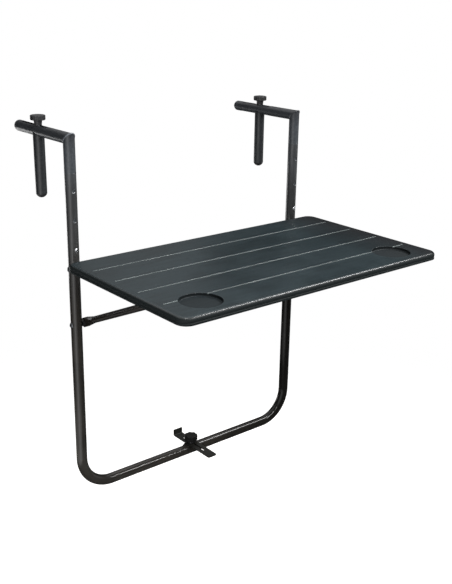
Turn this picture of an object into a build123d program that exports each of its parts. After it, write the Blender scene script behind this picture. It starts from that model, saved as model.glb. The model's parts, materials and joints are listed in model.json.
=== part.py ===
from build123d import *
import os
from math import atan2, cos, degrees, hypot, radians, sin, sqrt, tan

os.makedirs("parts", exist_ok=True)

# Folding balcony table that hooks over a rail. Millimetres, +Z up, the user sits on the -Y side.
# The origin is midway between the two arms, where their undersides meet the plane of the posts' backs,
# so it lies on the front top corner of the rail.

# Round steel tube of the lower frame and the hooks
tube_diameter = 21.0
tube_wall = 1.2
post_spacing = 540.0
bend_radius = 67.0

# Heights, measured down from the axis of the arms
seam_drop = 60.0
table_drop = 215.0
bottom_drop = 698.0

# Hooks: a swaged spigot slides in the post and a spring button locks it in one of the holes
snap_hole_diameter = 6.0
snap_hole_below_seam = 31.5
snap_hole_pitch = 54.0
snap_hole_count = 3
spigot_below_button = 22.0
shoulder_thickness = 1.6
button_stand_out = 2.0
button_flange = 1.2
button_flange_margin = 1.0
spring_thickness = 0.8
spring_width = 8.0
spring_length = 34.0
arm_length = 173.5

# Rail clamps that slide along the arms
rail_gap = 89.0
slot_start = 63.0
slot_end = 160.0
drop_length = 106.5
stud_diameter = 8.0
stud_plug_thickness = 6.0
stud_plug_depth = 1.0
clamp_washer_diameter = 14.0
clamp_washer_thickness = 1.2
clamp_washer_skirt = 2.0
cap_dome = 8.0
cap_plug_length = 12.0
cap_wall = 2.0

# Clamp knobs
knob_diameter = 28.0
knob_disc_height = 10.0
knob_dome = 1.2
knob_neck_diameter = 14.0
knob_neck_height = 7.0
knob_neck_flare = 1.0
knob_flute_count = 12
knob_flute_radius = 2.2
knob_flute_depth = 0.9
knob_insert_diameter = 10.5
knob_insert_length = 13.0
knob_edge = 1.0

# Table top, a ribbed moulding
table_width = 605.0
table_depth = 351.5
table_thickness = 13.5
table_gap = 15.5
table_corner = 20.0
table_edge = 6.0
edge_line_drop = 9.0
edge_line_height = 3.0
edge_line_depth = 0.9
skirt_wall = 2.8
plate_thickness = 3.2
rib_thickness = 2.2
rib_setback = 2.5
groove_width = 2.4
groove_depth = 1.4
groove_margin = 16.5
groove_edge = 0.8
groove_pitch = 70.0
first_groove = 67.0
groove_count = 4
cup_diameter = 72.0
cup_depth = 6.0
cup_floor_round = 2.0
cup_side_margin = 74.8
cup_front_margin = 54.6
cup_wall = 2.4
rib_tick_width = 1.6
rib_tick_depth = 0.8

# Hinge brackets and their rivets
hinge_below_top = 22.5
bracket_thickness = 2.5
bracket_leaf_start = 35.0
bracket_leaf_length = 52.0
bracket_leaf_width = 34.0
hinge_eye_radius = 9.0
hinge_washer_thickness = 1.0
hinge_washer_diameter = 13.0
rivet_diameter = 6.0
rivet_head_diameter = 11.0
rivet_head_height = 3.0
rivet_tail_diameter = 9.5
rivet_tail_height = 2.2
rivet_tail_bevel = 1.2
notch_margin = 2.5

# Support bail under the table
bail_pivot_below_hinge = 109.0
bail_reach = 240.0
bail_bar_gap = 3.2
bail_diameter = 12.7
bail_wall = 1.2
bail_bend_radius = 36.0
bail_eye_width = 18.0
bail_eye_thickness = 3.2
bail_eye_length = 15.0
bail_taper_length = 26.0
bail_side_gap = 0.6

# Clips that catch the cross bar of the bail
clip_spacing = 300.0
clip_width = 26.0
clip_length = 40.0
clip_lip = 5.0
clip_front_wrap = 22.0
clip_ramp = 18.0
clip_clearance = 0.4

# Self-tapping screws
screw_diameter = 4.0
screw_head_diameter = 8.0
screw_head_height = 2.4
screw_spacing = 26.0
clip_screw_offset = 14.0
boss_diameter = 9.0
boss_floor = 1.2

# Sliding spacer strip on the bottom run
strip_width = 22.0
strip_thickness = 2.5
strip_front = 76.0
strip_rear = 48.0
strip_tab_height = 13.0
strip_bend_radius = 2.5
strip_corner = 4.0
strip_slot_front = 47.0
strip_slot_rear = 28.0
saddle_length = 30.0
saddle_wall = 1.6
saddle_pad = 14.0
strip_stud_diameter = 4.0
strip_stud_length = 20.0
strip_washer_diameter = 15.0
strip_washer_thickness = 1.2
strip_knob_diameter = 28.0
strip_knob_height = 12.0
strip_knob_neck_diameter = 14.0
strip_knob_neck_height = 4.0
strip_knob_lobes = 8
strip_knob_lobe_radius = 4.0
strip_knob_lobe_depth = 1.6
weld_nut_diameter = 10.0
weld_nut_height = 5.0

# Clearances
pin_clearance = 0.08
slide_clearance = 0.12
slot_clearance = 0.25
cope_clearance = 0.3
face_clearance = 0.1
seat_clearance = 0.05
hole_clearance = 0.3

# Places worked out from the driving dimensions
tube_radius = tube_diameter / 2
bore_radius = tube_radius - tube_wall
post_x = post_spacing / 2
post_y = -tube_radius
arm_z = tube_radius
seam_z = arm_z - seam_drop
top_z = arm_z - table_drop
bottom_z = arm_z - bottom_drop
skirt_z = top_z - table_thickness
rib_z = skirt_z + rib_setback
plate_z = top_z - plate_thickness
hinge_z = top_z - hinge_below_top
bail_z = hinge_z - bail_pivot_below_hinge
spigot_radius = bore_radius - slide_clearance
spigot_bore = spigot_radius - tube_wall
snap_hole_z = [seam_z - snap_hole_below_seam - i * snap_hole_pitch for i in range(snap_hole_count)]
button_z = snap_hole_z[-1]
drop_y = rail_gap + tube_radius
slot_width = stud_diameter + 2 * slot_clearance
clamp_washer_z = arm_z + tube_radius + cope_clearance
knob_z = clamp_washer_z + clamp_washer_thickness + face_clearance
knob_top_z = knob_z + knob_neck_height + knob_disc_height
stud_top_z = knob_z + knob_insert_length - 1.0
table_back = post_y - tube_radius - table_gap
table_front = table_back - table_depth
table_mid = (table_back + table_front) / 2
rivet_hole = rivet_diameter / 2 + pin_clearance
post_inner = post_x - tube_radius
post_outer = post_x + tube_radius
ear_outer = post_inner - hinge_washer_thickness - 2 * face_clearance
ear_inner = ear_outer - bracket_thickness
leaf_back = post_y - bracket_leaf_start
leaf_front = leaf_back - bracket_leaf_length
leaf_mid = (leaf_back + leaf_front) / 2
leaf_top = rib_z - face_clearance
leaf_under = leaf_top - bracket_thickness
leaf_x = ear_outer - bracket_leaf_width / 2
bail_radius = bail_diameter / 2
bail_x = post_inner - bail_side_gap - bail_radius
bar_y = post_y - bail_reach
bar_z = skirt_z - bail_bar_gap - bail_radius
bail_length = hypot(bail_reach, bar_z - bail_z)
bail_angle = degrees(atan2(bar_z - bail_z, bail_reach))
clip_x = clip_spacing / 2
strip_z = bottom_z + tube_radius + saddle_wall
strip_knob_z = strip_z + strip_thickness + strip_washer_thickness + 2 * face_clearance
sides = (("left", -1), ("right", 1))

# Middle point of each spherical dome, as a share of its radius
dome_middle = 0.6


def upright(x, y):
    # Plane facing the user, through a vertical axis: local x is sideways, local y is height
    return Plane(origin=(x, y, 0), x_dir=(1, 0, 0), z_dir=(0, -1, 0))


def vertical(x, y):
    return Axis((x, y, 0), (0, 0, 1))


def dome_height(base_radius, height, radius):
    # Height of a spherical dome above its base, at a distance from its axis
    sphere = (base_radius**2 + height**2) / (2 * height)
    return sqrt(sphere**2 - radius**2) - sphere + height


def rivet_outline(side, tail_x, z):
    # Half profile of a rivet along X: domed head outside the post, shank, peened tail
    head_radius = rivet_head_diameter / 2
    tail_radius = rivet_tail_diameter / 2
    mid_radius = dome_middle * head_radius
    mid_height = dome_height(head_radius, rivet_head_height, mid_radius)
    Polyline(
        (side * (post_outer + rivet_head_height), z),
        (side * (tail_x - rivet_tail_height), z),
        (side * (tail_x - rivet_tail_height), z + tail_radius - rivet_tail_bevel),
        (side * tail_x, z + tail_radius),
        (side * tail_x, z + rivet_diameter / 2),
        (side * post_outer, z + rivet_diameter / 2),
        (side * post_outer, z + head_radius),
    )
    ThreePointArc(
        (side * post_outer, z + head_radius),
        (side * (post_outer + mid_height), z + mid_radius),
        (side * (post_outer + rivet_head_height), z),
    )


def save(piece, name):
    piece.part.label = name
    export_step(piece.part, f"parts/{name}.step")


# Lower frame: one tube bent into a U, with the button holes, the rivet holes and the stud hole
with BuildPart() as frame_tube:
    with BuildLine() as frame_path:
        FilletPolyline(
            (-post_x, post_y, seam_z),
            (-post_x, post_y, bottom_z),
            (post_x, post_y, bottom_z),
            (post_x, post_y, seam_z),
            radius=bend_radius,
        )
    with BuildSketch(Plane.XY.offset(seam_z)):
        with Locations((-post_x, post_y)):
            Circle(tube_radius)
            Circle(bore_radius, mode=Mode.SUBTRACT)
    sweep(path=frame_path.wires()[0])
    with BuildSketch(Plane.XZ.offset(-post_y)):
        with Locations([(side * post_x, z) for _, side in sides for z in snap_hole_z]):
            Circle(snap_hole_diameter / 2)
    extrude(amount=2 * tube_radius, mode=Mode.SUBTRACT)
    with BuildSketch(Plane.YZ):
        with Locations((post_y, hinge_z), (post_y, bail_z)):
            Circle(rivet_hole)
    extrude(amount=post_x + 2 * tube_radius, both=True, mode=Mode.SUBTRACT)
    with BuildSketch(Plane.XY.offset(bottom_z)):
        with Locations((0, post_y)):
            Circle(strip_stud_diameter / 2 + hole_clearance)
    extrude(amount=2 * tube_radius, mode=Mode.SUBTRACT)
save(frame_tube, "frame_tube")

# Saddle that gives the spacer strip a flat seat on the round bottom run
saddle_radius = tube_radius + seat_clearance
with BuildPart() as strip_saddle:
    with BuildSketch(Plane.YZ):
        with Locations((post_y, bottom_z)):
            Circle(tube_radius + saddle_wall)
        with Locations((post_y, strip_z)):
            Rectangle(saddle_pad, saddle_wall + tube_radius / 2, align=(Align.CENTER, Align.MAX))
        with Locations((post_y, bottom_z)):
            Circle(saddle_radius, mode=Mode.SUBTRACT)
        with Locations((post_y, bottom_z)):
            Rectangle(4 * tube_radius, 2 * tube_radius, align=(Align.CENTER, Align.MAX), mode=Mode.SUBTRACT)
    extrude(amount=saddle_length / 2, both=True)
    with BuildSketch(Plane.XY.offset(bottom_z)):
        with Locations((0, post_y)):
            Circle(strip_stud_diameter / 2 + hole_clearance)
    extrude(amount=2 * tube_radius, mode=Mode.SUBTRACT)
save(strip_saddle, "strip_saddle")

# Weld nut inside the bottom run, under the saddle
weld_nut_z = bottom_z + sqrt(bore_radius**2 - (weld_nut_diameter / 2) ** 2) - seat_clearance
with BuildPart() as strip_weld_nut:
    with BuildSketch(Plane.XY.offset(weld_nut_z)):
        with Locations((0, post_y)):
            Circle(weld_nut_diameter / 2)
            Circle(strip_stud_diameter / 2 + pin_clearance, mode=Mode.SUBTRACT)
    extrude(amount=-weld_nut_height)
save(strip_weld_nut, "strip_weld_nut")

# Spacer strip: a slotted flat bar with its rear end bent up
with BuildPart() as spacer_strip:
    strip_mid_z = strip_z + face_clearance + strip_thickness / 2
    with BuildSketch(Plane.YZ):
        with BuildLine():
            FilletPolyline(
                (post_y - strip_front, strip_mid_z),
                (post_y + strip_rear, strip_mid_z),
                (post_y + strip_rear, strip_mid_z + strip_tab_height),
                radius=strip_bend_radius,
            )
        trace(line_width=strip_thickness)
    extrude(amount=strip_width / 2, both=True)
    front_corners = spacer_strip.edges().filter_by(Axis.Z).group_by(Axis.Y)[0]
    fillet(front_corners, strip_corner)
    slot_length = strip_slot_front + strip_slot_rear
    with BuildSketch(Plane.XY.offset(strip_z)):
        with Locations((0, post_y + (strip_slot_rear - strip_slot_front) / 2)):
            SlotOverall(slot_length, strip_stud_diameter + 2 * slot_clearance, rotation=90)
    extrude(amount=2 * strip_thickness, mode=Mode.SUBTRACT)
save(spacer_strip, "spacer_strip")

# Washer, stud and lobed knob that hold the strip
with BuildPart() as strip_washer:
    with BuildSketch(Plane.XY.offset(strip_knob_z - strip_washer_thickness)):
        with Locations((0, post_y)):
            Circle(strip_washer_diameter / 2)
            Circle(strip_stud_diameter / 2 + seat_clearance, mode=Mode.SUBTRACT)
    extrude(amount=strip_washer_thickness)
save(strip_washer, "strip_washer")

strip_stud_grip = strip_knob_neck_height + strip_knob_height / 2
with BuildPart() as strip_stud:
    with BuildSketch(Plane.XY.offset(strip_knob_z + strip_stud_grip)):
        with Locations((0, post_y)):
            Circle(strip_stud_diameter / 2)
    extrude(amount=-strip_stud_length - strip_stud_grip)
    chamfer(strip_stud.edges().sort_by(Axis.Z)[0], strip_stud_diameter / 8)
save(strip_stud, "strip_stud")

lobe_circle = strip_knob_diameter / 2 + strip_knob_lobe_radius - strip_knob_lobe_depth
with BuildPart() as strip_knob:
    with BuildSketch(Plane.XY.offset(strip_knob_z + strip_knob_neck_height)):
        with Locations((0, post_y)):
            Circle(strip_knob_diameter / 2)
        with Locations((0, post_y)):
            with PolarLocations(lobe_circle, strip_knob_lobes):
                Circle(strip_knob_lobe_radius, mode=Mode.SUBTRACT)
    extrude(amount=strip_knob_height)
    fillet(strip_knob.faces().sort_by(Axis.Z)[-1].edges(), strip_knob_lobe_depth)
    with BuildSketch(Plane.XY.offset(strip_knob_z)):
        with Locations((0, post_y)):
            Circle(strip_knob_neck_diameter / 2)
    extrude(amount=strip_knob_neck_height)
    with BuildSketch(Plane.XY.offset(strip_knob_z)):
        with Locations((0, post_y)):
            Circle(strip_stud_diameter / 2 + seat_clearance)
    extrude(amount=strip_stud_grip + seat_clearance, mode=Mode.SUBTRACT)
save(strip_knob, "strip_knob")

cap_mid_radius = dome_middle * tube_radius
cap_mid_height = dome_height(tube_radius, cap_dome - seat_clearance, cap_mid_radius)
for side_name, side in sides:
    hook_x = side * post_x

    # Hook: the arm and the upper post are mitred and welded, and the post's foot is swaged to a spigot
    with BuildPart() as hook_tube:
        with BuildLine() as hook_path:
            Polyline(
                (hook_x, post_y, seam_z),
                (hook_x, post_y, arm_z),
                (hook_x, arm_length, arm_z),
            )
        with BuildSketch(Plane.XY.offset(seam_z)):
            with Locations((hook_x, post_y)):
                Circle(tube_radius)
                Circle(bore_radius, mode=Mode.SUBTRACT)
        sweep(path=hook_path.wires()[0], transition=Transition.RIGHT)
        with BuildSketch(Plane.XY.offset(seam_z)):
            with Locations((hook_x, post_y)):
                Circle(tube_radius)
                Circle(spigot_bore, mode=Mode.SUBTRACT)
        extrude(amount=shoulder_thickness)
        with BuildSketch(Plane.XY.offset(button_z - spigot_below_button)):
            with Locations((hook_x, post_y)):
                Circle(spigot_radius)
                Circle(spigot_bore, mode=Mode.SUBTRACT)
        extrude(amount=seam_z - button_z + spigot_below_button)
        with BuildSketch(Plane.XZ.offset(-post_y)):
            with Locations((hook_x, button_z)):
                Circle(snap_hole_diameter / 2)
        extrude(amount=tube_radius, mode=Mode.SUBTRACT)
        with BuildSketch(Plane.XY.offset(arm_z)):
            with Locations((hook_x, (slot_start + slot_end) / 2)):
                SlotOverall(slot_end - slot_start, slot_width, rotation=90)
        extrude(amount=2 * tube_radius, both=True, mode=Mode.SUBTRACT)
    save(hook_tube, f"{side_name}_hook_tube")

    # Domed plug in the open end of the arm
    with BuildPart() as arm_cap:
        with BuildSketch(Plane.YZ.offset(hook_x)):
            with BuildLine():
                Polyline(
                    (arm_length, arm_z),
                    (arm_length + cap_dome, arm_z),
                )
                ThreePointArc(
                    (arm_length + cap_dome, arm_z),
                    (arm_length + seat_clearance + cap_mid_height, arm_z + cap_mid_radius),
                    (arm_length + seat_clearance, arm_z + tube_radius),
                )
                Polyline(
                    (arm_length + seat_clearance, arm_z + tube_radius),
                    (arm_length + seat_clearance, arm_z + bore_radius - seat_clearance),
                    (arm_length - cap_plug_length, arm_z + bore_radius - seat_clearance),
                    (arm_length - cap_plug_length, arm_z + bore_radius - cap_wall),
                    (arm_length, arm_z + bore_radius - cap_wall),
                    (arm_length, arm_z),
                )
            make_face()
        revolve(axis=Axis((hook_x, 0, arm_z), (0, 1, 0)))
    save(arm_cap, f"{side_name}_arm_cap")

    # Snap button: a domed pin whose flange stays inside the spigot
    button_radius = snap_hole_diameter / 2 - pin_clearance
    flange_radius = button_radius + button_flange_margin
    flange_face = post_y - sqrt(spigot_bore**2 - flange_radius**2) + face_clearance
    button_tip = post_y - tube_radius - button_stand_out
    button_mid_radius = dome_middle * button_radius
    button_mid_height = dome_height(button_radius, button_stand_out, button_mid_radius)
    button_mid_y = button_tip + button_stand_out - button_mid_height
    with BuildPart() as snap_button:
        with BuildSketch(Plane.YZ.offset(hook_x)):
            with BuildLine():
                ThreePointArc(
                    (button_tip, button_z),
                    (button_mid_y, button_z + button_mid_radius),
                    (button_tip + button_stand_out, button_z + button_radius),
                )
                Polyline(
                    (button_tip + button_stand_out, button_z + button_radius),
                    (flange_face, button_z + button_radius),
                    (flange_face, button_z + flange_radius),
                    (flange_face + button_flange, button_z + flange_radius),
                    (flange_face + button_flange, button_z),
                    (button_tip, button_z),
                )
            make_face()
        revolve(axis=Axis((hook_x, 0, button_z), (0, 1, 0)))
    save(snap_button, f"{side_name}_snap_button")

    # V-shaped leaf spring behind the button
    spring_gap = seat_clearance + spring_thickness / 2
    leaf_line = flange_face + button_flange + spring_gap
    wall_line = post_y + sqrt(spigot_bore**2 - (spring_width / 2) ** 2) - spring_gap
    with BuildPart() as button_spring:
        with BuildSketch(Plane.YZ.offset(hook_x)):
            with BuildLine():
                FilletPolyline(
                    (leaf_line, button_z - flange_radius),
                    (leaf_line, button_z + flange_radius),
                    ((leaf_line + wall_line) / 2, button_z + spring_length),
                    (wall_line, button_z + flange_radius),
                    (wall_line, button_z - flange_radius),
                    radius=2 * spring_thickness,
                )
            trace(line_width=spring_thickness)
        extrude(amount=spring_width / 2, both=True)
    save(button_spring, f"{side_name}_button_spring")

    # Clamp tube that hangs behind the rail, coped to fit under the arm
    with BuildPart() as drop_tube:
        with BuildSketch(Plane.XY.offset(-drop_length)):
            with Locations((hook_x, drop_y)):
                Circle(tube_radius)
                Circle(bore_radius, mode=Mode.SUBTRACT)
        extrude(amount=drop_length + tube_radius)
        with BuildSketch(Plane.XZ.offset(-drop_y)):
            with Locations((hook_x, arm_z)):
                Circle(tube_radius + cope_clearance)
        extrude(amount=2 * tube_radius, both=True, mode=Mode.SUBTRACT)
    save(drop_tube, f"{side_name}_drop_tube")

    # Domed plug in the foot of the clamp tube
    with BuildPart() as drop_cap:
        with BuildSketch(upright(hook_x, drop_y)):
            with BuildLine():
                Polyline(
                    (0, -drop_length),
                    (0, -drop_length - cap_dome),
                )
                ThreePointArc(
                    (0, -drop_length - cap_dome),
                    (cap_mid_radius, -drop_length - seat_clearance - cap_mid_height),
                    (tube_radius, -drop_length - seat_clearance),
                )
                Polyline(
                    (tube_radius, -drop_length - seat_clearance),
                    (bore_radius - seat_clearance, -drop_length - seat_clearance),
                    (bore_radius - seat_clearance, -drop_length + cap_plug_length),
                    (bore_radius - cap_wall, -drop_length + cap_plug_length),
                    (bore_radius - cap_wall, -drop_length),
                    (0, -drop_length),
                )
            make_face()
        revolve(axis=vertical(hook_x, drop_y))
    save(drop_cap, f"{side_name}_drop_cap")

    # Plug in the head of the clamp tube that carries the stud
    plug_top = -cope_clearance - stud_plug_depth
    with BuildPart() as stud_plug:
        with BuildSketch(Plane.XY.offset(plug_top)):
            with Locations((hook_x, drop_y)):
                Circle(bore_radius - seat_clearance)
                Circle(stud_diameter / 2 + seat_clearance, mode=Mode.SUBTRACT)
        extrude(amount=-stud_plug_thickness)
    save(stud_plug, f"{side_name}_stud_plug")

    # Stud that passes up through both slots of the arm into the knob
    with BuildPart() as clamp_stud:
        with BuildSketch(Plane.XY.offset(plug_top - stud_plug_thickness)):
            with Locations((hook_x, drop_y)):
                Circle(stud_diameter / 2)
        extrude(amount=stud_top_z - plug_top + stud_plug_thickness)
        chamfer(clamp_stud.edges().sort_by(Axis.Z)[-1], stud_diameter / 8)
    save(clamp_stud, f"{side_name}_clamp_stud")

    # Saddle washer that rides on the arm, astride its slot
    with BuildPart() as clamp_washer:
        with BuildSketch(Plane.XY.offset(clamp_washer_z - clamp_washer_skirt)):
            with Locations((hook_x, drop_y)):
                Circle(clamp_washer_diameter / 2)
                Circle(stud_diameter / 2 + seat_clearance, mode=Mode.SUBTRACT)
        extrude(amount=clamp_washer_skirt + clamp_washer_thickness)
        with BuildSketch(Plane.XZ.offset(-drop_y)):
            with Locations((hook_x, arm_z)):
                Circle(tube_radius + cope_clearance)
        extrude(amount=clamp_washer_diameter, both=True, mode=Mode.SUBTRACT)
    save(clamp_washer, f"{side_name}_clamp_washer")

    # Fluted clamp knob on a short tapered neck
    disc_z = knob_z + knob_neck_height
    knob_radius = knob_diameter / 2
    neck_radius = knob_neck_diameter / 2
    knob_mid_radius = dome_middle * knob_radius
    knob_mid_height = dome_height(knob_radius - knob_edge, knob_dome, knob_mid_radius)
    with BuildPart() as clamp_knob:
        with BuildSketch(upright(hook_x, drop_y)):
            with BuildLine():
                Polyline(
                    (0, knob_top_z),
                    (0, knob_z),
                    (neck_radius, knob_z),
                    (neck_radius + knob_neck_flare, disc_z),
                    (knob_radius - knob_edge, disc_z),
                    (knob_radius, disc_z + knob_edge),
                    (knob_radius, knob_top_z - knob_dome - knob_edge),
                    (knob_radius - knob_edge, knob_top_z - knob_dome),
                )
                ThreePointArc(
                    (knob_radius - knob_edge, knob_top_z - knob_dome),
                    (knob_mid_radius, knob_top_z - knob_dome + knob_mid_height),
                    (0, knob_top_z),
                )
            make_face()
        revolve(axis=vertical(hook_x, drop_y))
        with BuildSketch(Plane.XY.offset(disc_z)):
            with Locations((hook_x, drop_y)):
                with PolarLocations(knob_radius + knob_flute_radius - knob_flute_depth, knob_flute_count):
                    Circle(knob_flute_radius)
        extrude(amount=knob_disc_height, mode=Mode.SUBTRACT)
        with BuildSketch(Plane.XY.offset(knob_z)):
            with Locations((hook_x, drop_y)):
                Circle(knob_insert_diameter / 2 + seat_clearance)
        extrude(amount=knob_insert_length + seat_clearance, mode=Mode.SUBTRACT)
    save(clamp_knob, f"{side_name}_clamp_knob")

    # Threaded insert moulded into the knob
    with BuildPart() as knob_insert:
        with BuildSketch(Plane.XY.offset(knob_z)):
            with Locations((hook_x, drop_y)):
                Circle(knob_insert_diameter / 2)
                Circle(stud_diameter / 2 + pin_clearance, mode=Mode.SUBTRACT)
        extrude(amount=knob_insert_length)
    save(knob_insert, f"{side_name}_knob_insert")

    # Hinge rivet through the post and the bracket's eye
    with BuildPart() as hinge_rivet:
        with BuildSketch(Plane.XZ.offset(-post_y)):
            with BuildLine():
                rivet_outline(side, ear_inner - face_clearance, hinge_z)
            make_face()
        revolve(axis=Axis((0, post_y, hinge_z), (1, 0, 0)))
    save(hinge_rivet, f"{side_name}_hinge_rivet")

    # Washer between the post and the bracket's eye
    with BuildPart() as hinge_washer:
        with BuildSketch(Plane.YZ.offset(side * (ear_outer + face_clearance))):
            with Locations((post_y, hinge_z)):
                Circle(hinge_washer_diameter / 2)
                Circle(rivet_diameter / 2 + seat_clearance, mode=Mode.SUBTRACT)
        extrude(amount=side * hinge_washer_thickness)
    save(hinge_washer, f"{side_name}_hinge_washer")

    # Rivet and spacer that carry the foot of the bail
    bail_face = bail_x + bail_eye_thickness / 2
    with BuildPart() as bail_rivet:
        with BuildSketch(Plane.XZ.offset(-post_y)):
            with BuildLine():
                rivet_outline(side, bail_x - bail_eye_thickness / 2 - face_clearance, bail_z)
            make_face()
        revolve(axis=Axis((0, post_y, bail_z), (1, 0, 0)))
    save(bail_rivet, f"{side_name}_bail_rivet")

    with BuildPart() as bail_spacer:
        with BuildSketch(Plane.YZ.offset(side * (bail_face + face_clearance))):
            with Locations((post_y, bail_z)):
                Circle(bail_radius)
                Circle(rivet_diameter / 2 + seat_clearance, mode=Mode.SUBTRACT)
        extrude(amount=side * (post_inner - bail_face - 2 * face_clearance))
    save(bail_spacer, f"{side_name}_bail_spacer")

    # Hinge bracket: an ear beside the post with a leaf bent under the table
    with BuildPart() as hinge_bracket:
        with BuildSketch(Plane.YZ.offset(side * ear_inner)):
            with Locations((post_y, hinge_z)):
                Circle(hinge_eye_radius)
            with Locations((leaf_mid, leaf_top)):
                Rectangle(bracket_leaf_length, bracket_thickness, align=(Align.CENTER, Align.MAX))
            make_hull()
            with Locations((post_y, hinge_z)):
                Circle(rivet_hole, mode=Mode.SUBTRACT)
        extrude(amount=side * bracket_thickness)
        with BuildSketch(Plane.XY.offset(leaf_top)):
            with Locations((side * leaf_x, leaf_mid)):
                RectangleRounded(bracket_leaf_width, bracket_leaf_length, bracket_thickness)
            with Locations((side * (ear_inner + ear_outer) / 2, leaf_mid)):
                Rectangle(bracket_thickness, bracket_leaf_length)
            with Locations([(side * leaf_x, leaf_mid + k * screw_spacing / 2) for k in (-1, 1)]):
                Circle(screw_diameter / 2 + hole_clearance, mode=Mode.SUBTRACT)
        extrude(amount=-bracket_thickness)
    save(hinge_bracket, f"{side_name}_hinge_bracket")

    # Clip under the table: it wraps the bar from behind and over its top, and the bar leaves forwards
    seat_radius = bail_radius + clip_clearance
    wrap = radians(clip_front_wrap)
    lip_y = bar_y - seat_radius * sin(wrap)
    lip_z = bar_z + seat_radius * cos(wrap)
    clip_front = bar_y - clip_length / 2
    clip_back = bar_y + clip_length / 2
    with BuildPart() as bail_clip:
        with BuildSketch(Plane.YZ.offset(side * clip_x)):
            with BuildLine():
                Polyline(
                    (bar_y + seat_radius, bar_z),
                    (bar_y + seat_radius, bar_z - clip_lip),
                    (bar_y + seat_radius + clip_lip, bar_z - clip_lip),
                    (clip_back, leaf_under),
                    (clip_back, leaf_top),
                    (clip_front, leaf_top),
                    (clip_front, lip_z - (lip_y - clip_front) * tan(radians(clip_ramp))),
                    (lip_y, lip_z),
                )
                ThreePointArc(
                    (lip_y, lip_z),
                    (bar_y + seat_radius * sin(radians(35)), bar_z + seat_radius * cos(radians(35))),
                    (bar_y + seat_radius, bar_z),
                )
            make_face()
        extrude(amount=clip_width / 2, both=True)
        with BuildSketch(Plane.XY.offset(leaf_top)):
            with Locations([(side * clip_x, bar_y + k * clip_screw_offset) for k in (-1, 1)]):
                Circle(screw_diameter / 2 + hole_clearance)
        extrude(amount=-4 * bail_diameter, mode=Mode.SUBTRACT)
        with BuildSketch(Plane.XY.offset(leaf_under)):
            with Locations([(side * clip_x, bar_y + k * clip_screw_offset) for k in (-1, 1)]):
                Circle(screw_head_diameter / 2 + hole_clearance)
        extrude(amount=-4 * bail_diameter, mode=Mode.SUBTRACT)
    save(bail_clip, f"{side_name}_bail_clip")

# Support bail: one tube bent into a U, its ends pressed flat round the rivets
bail_plane = Plane(
    origin=(0, post_y, bail_z),
    x_dir=(1, 0, 0),
    z_dir=(0, -sin(radians(bail_angle)), -cos(radians(bail_angle))),
)
taper_end = bail_eye_length + bail_taper_length
with BuildPart() as support_bail:
    with BuildLine(bail_plane) as bail_path:
        FilletPolyline(
            (-bail_x, taper_end),
            (-bail_x, bail_length),
            (bail_x, bail_length),
            (bail_x, taper_end),
            radius=bail_bend_radius,
        )
    with BuildSketch(Plane(origin=bail_path.wires()[0] @ 0, z_dir=bail_path.wires()[0] % 0)):
        Circle(bail_radius)
        Circle(bail_radius - bail_wall, mode=Mode.SUBTRACT)
    sweep(path=bail_path.wires()[0])
    for _, side in sides:
        eye_centre = bail_plane.from_local_coords((side * bail_x, 0, 0))
        eye_plane = Plane(origin=eye_centre, x_dir=bail_plane.y_dir, z_dir=(1, 0, 0))
        with BuildSketch(eye_plane.offset(-bail_eye_thickness / 2)):
            Circle(bail_eye_width / 2)
            Rectangle(bail_eye_length, bail_eye_width, align=(Align.MIN, Align.CENTER))
        extrude(amount=bail_eye_thickness)
        flat_end = Plane(
            origin=bail_plane.from_local_coords((side * bail_x, bail_eye_length, 0)),
            x_dir=(1, 0, 0),
            z_dir=bail_plane.y_dir,
        )
        with BuildSketch(flat_end):
            RectangleRounded(bail_eye_thickness, bail_eye_width, 0.49 * bail_eye_thickness)
        with BuildSketch(flat_end.offset(bail_taper_length)):
            Circle(bail_radius)
        loft()
        with BuildSketch(eye_plane.offset(-bail_radius)):
            Circle(rivet_hole)
        extrude(amount=bail_diameter, mode=Mode.SUBTRACT)
save(support_bail, "support_bail")

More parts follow.
